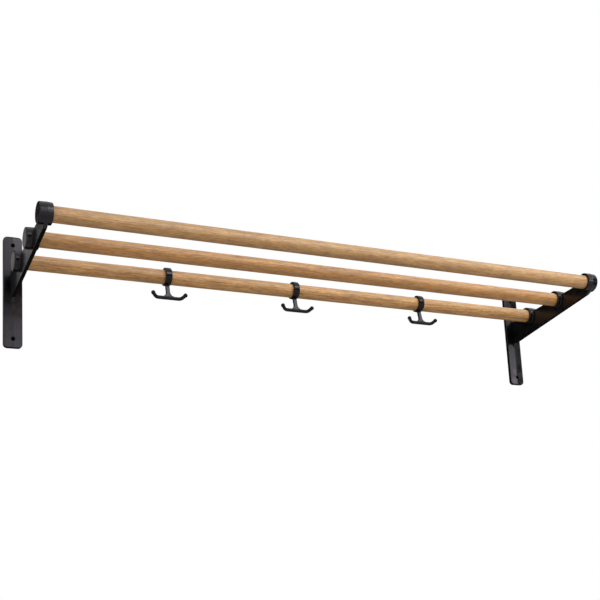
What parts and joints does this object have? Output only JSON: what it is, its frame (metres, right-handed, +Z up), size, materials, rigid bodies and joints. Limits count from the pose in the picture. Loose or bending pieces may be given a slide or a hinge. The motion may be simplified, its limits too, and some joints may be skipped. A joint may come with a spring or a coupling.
{
  "type": "hat rack",
  "caption": "Wall hat rack: round wooden rods between two black cast brackets form an open shelf, with black double hooks that slide on the rear rod.",
  "frame": {"origin": "in the wall plane, at the centre of the four screw holes", "axes": "+X along the rods, to the right as seen from the room; +Y into the wall; +Z up"},
  "size_m": [1.0076, 0.2475, 0.184],
  "materials": {
    "black_casting": "satin black lacquer on a cast surface",
    "wood": "oiled, with fine grain along the rod",
    "black_hook": "satin black lacquer on a small casting"
  },
  "bodies": {
    "rack": {"left_bracket": "black_casting", "right_bracket": "black_casting", "front_rod": "wood", "middle_rod": "wood", "rear_rod": "wood"},
    "left_hook": {"left_hook": "black_hook"},
    "middle_hook": {"middle_hook": "black_hook"},
    "right_hook": {"right_hook": "black_hook"}
  },
  "joints": [
    {"name": "left_hook_slide", "type": "slide", "parent": "rack", "child": "left_hook", "axis": [1, 0, 0], "range_m": [-0.2025, 0.084]},
    {"name": "middle_hook_slide", "type": "slide", "parent": "rack", "child": "middle_hook", "axis": [1, 0, 0], "range_m": [-0.084, 0.0948]},
    {"name": "right_hook_slide", "type": "slide", "parent": "rack", "child": "right_hook", "axis": [1, 0, 0], "range_m": [-0.0948, 0.219]}
  ]
}
